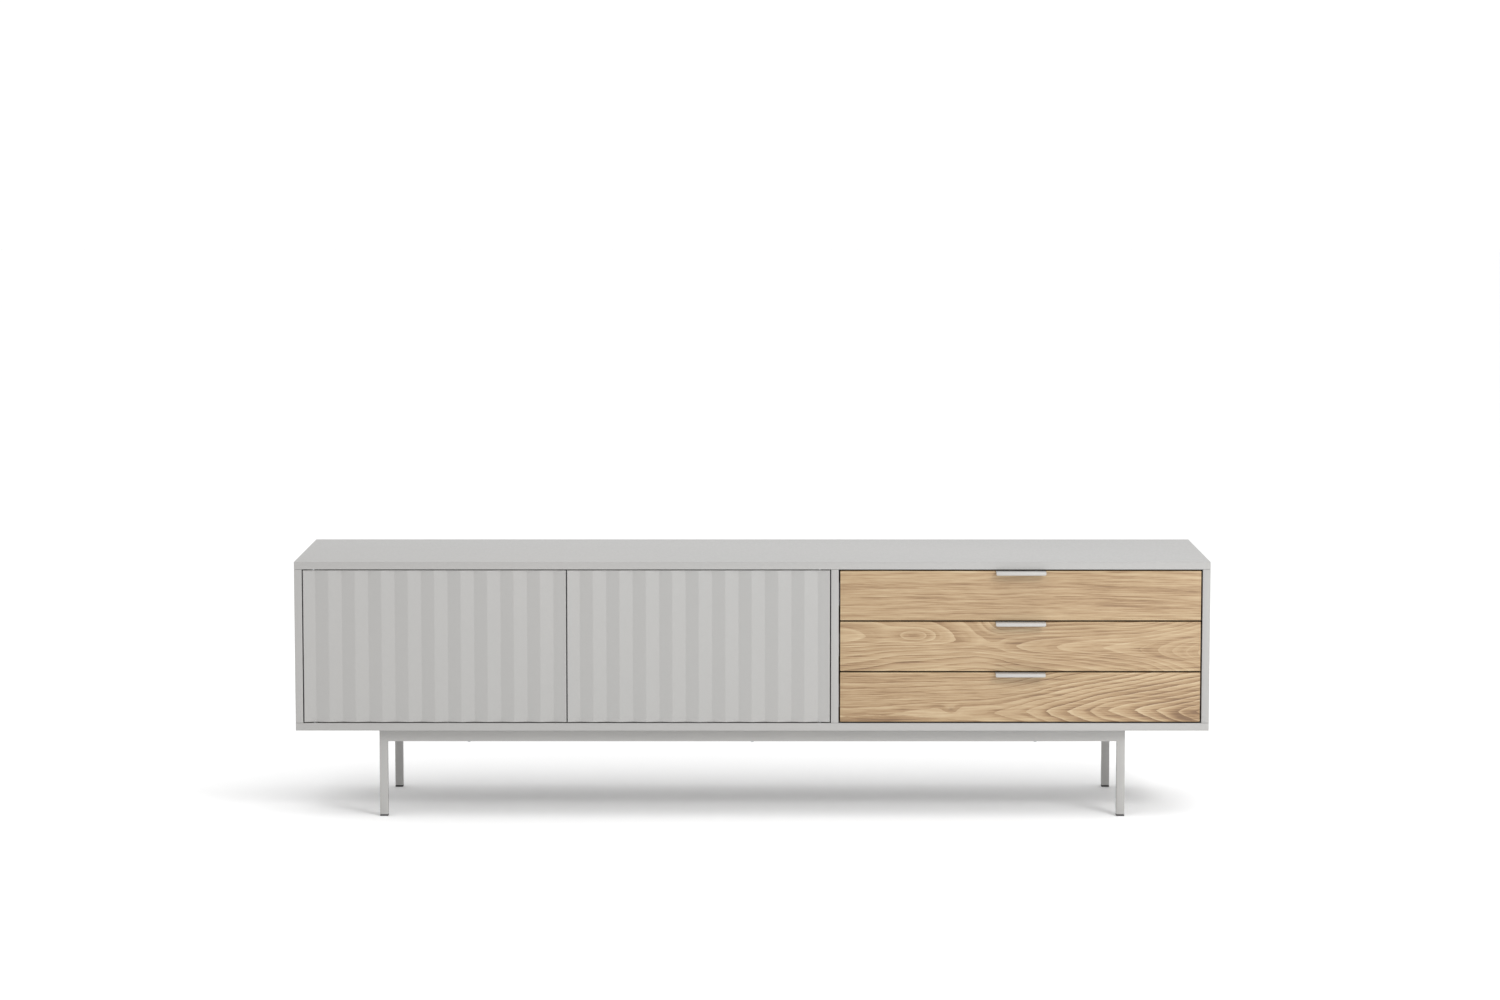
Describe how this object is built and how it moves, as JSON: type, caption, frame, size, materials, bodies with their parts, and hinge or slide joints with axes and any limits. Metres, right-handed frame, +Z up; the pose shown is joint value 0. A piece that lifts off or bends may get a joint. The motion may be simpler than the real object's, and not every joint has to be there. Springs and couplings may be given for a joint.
{
  "type": "media cabinet",
  "caption": "Long low cabinet on a slim steel base, with pleated hinged doors over shelves and stacked oak-fronted drawers with tab handles.",
  "frame": {"origin": "on the floor, under the middle of the whole object, handles included", "axes": "+X along the cabinet to the right seen from its front, +Y from front to back, +Z up"},
  "size_m": [1.8, 0.418, 0.51],
  "materials": {
    "case_lacquer": "satin lacquer",
    "door_lacquer": "satin lacquer",
    "inner_board": "matt melamine",
    "oak": "matt oiled oak",
    "base_steel": "satin powder coat",
    "handle_steel": "satin powder coat",
    "zinc_steel": "bright zinc",
    "grey_plastic": "moulded",
    "dark_plastic": "moulded"
  },
  "bodies": {
    "cabinet": {"bottom_panel": "case_lacquer", "top_panel": "case_lacquer", "left_side_panel": "case_lacquer", "right_side_panel": "case_lacquer", "drawer_divider": "case_lacquer", "centre_partition": "inner_board", "left_shelf": "inner_board", "right_shelf": "inner_board", "back_panel": "inner_board", "front_leg_frame": "base_steel", "rear_leg_frame": "base_steel", "left_cross_rail": "base_steel", "right_cross_rail": "base_steel", "front_left_glide": "dark_plastic", "front_right_glide": "dark_plastic", "rear_left_glide": "dark_plastic", "rear_right_glide": "dark_plastic", "left_door_bottom_socket": "grey_plastic", "left_door_top_socket": "grey_plastic", "right_door_bottom_socket": "grey_plastic", "right_door_top_socket": "grey_plastic", "latch_housing": "grey_plastic", "drawer_1_left_runner": "zinc_steel", "drawer_1_right_runner": "zinc_steel", "drawer_2_left_runner": "zinc_steel", "drawer_2_right_runner": "zinc_steel", "drawer_3_left_runner": "zinc_steel", "drawer_3_right_runner": "zinc_steel"},
    "left_door": {"left_door": "door_lacquer", "left_door_bottom_pivot": "zinc_steel", "left_door_top_pivot": "zinc_steel"},
    "right_door": {"right_door": "door_lacquer", "right_door_bottom_pivot": "zinc_steel", "right_door_top_pivot": "zinc_steel"},
    "left_plunger": {"left_latch_plunger": "grey_plastic"},
    "right_plunger": {"right_latch_plunger": "grey_plastic"},
    "drawer_1": {"drawer_1_front": "oak", "drawer_1_handle": "handle_steel", "drawer_1_bottom": "inner_board", "drawer_1_back": "inner_board", "drawer_1_left_side": "inner_board", "drawer_1_right_side": "inner_board", "drawer_1_left_slide": "zinc_steel", "drawer_1_right_slide": "zinc_steel"},
    "drawer_2": {"drawer_2_front": "oak", "drawer_2_handle": "handle_steel", "drawer_2_bottom": "inner_board", "drawer_2_back": "inner_board", "drawer_2_left_side": "inner_board", "drawer_2_right_side": "inner_board", "drawer_2_left_slide": "zinc_steel", "drawer_2_right_slide": "zinc_steel"},
    "drawer_3": {"drawer_3_front": "oak", "drawer_3_handle": "handle_steel", "drawer_3_bottom": "inner_board", "drawer_3_back": "inner_board", "drawer_3_left_side": "inner_board", "drawer_3_right_side": "inner_board", "drawer_3_left_slide": "zinc_steel", "drawer_3_right_slide": "zinc_steel"}
  },
  "joints": [
    {"name": "left_door_swing", "type": "hinge", "parent": "cabinet", "child": "left_door", "pos_m": [-0.863, -0.182, 0.342], "axis": [0, 0, -1], "range_deg": [0, 90]},
    {"name": "right_door_swing", "type": "hinge", "parent": "cabinet", "child": "right_door", "pos_m": [0.133, -0.182, 0.342], "axis": [0, 0, 1], "range_deg": [0, 90]},
    {"name": "drawer_1_slide", "type": "slide", "parent": "cabinet", "child": "drawer_1", "axis": [0, -1, 0], "range_m": [0, 0.25]},
    {"name": "drawer_2_slide", "type": "slide", "parent": "cabinet", "child": "drawer_2", "axis": [0, -1, 0], "range_m": [0, 0.25]},
    {"name": "drawer_3_slide", "type": "slide", "parent": "cabinet", "child": "drawer_3", "axis": [0, -1, 0], "range_m": [0, 0.25]},
    {"name": "left_latch_press", "type": "slide", "parent": "cabinet", "child": "left_plunger", "axis": [0, 1, 0], "range_m": [0, 0.003], "stiffness_N_per_m": 500},
    {"name": "right_latch_press", "type": "slide", "parent": "cabinet", "child": "right_plunger", "axis": [0, 1, 0], "range_m": [0, 0.003], "stiffness_N_per_m": 500}
  ]
}
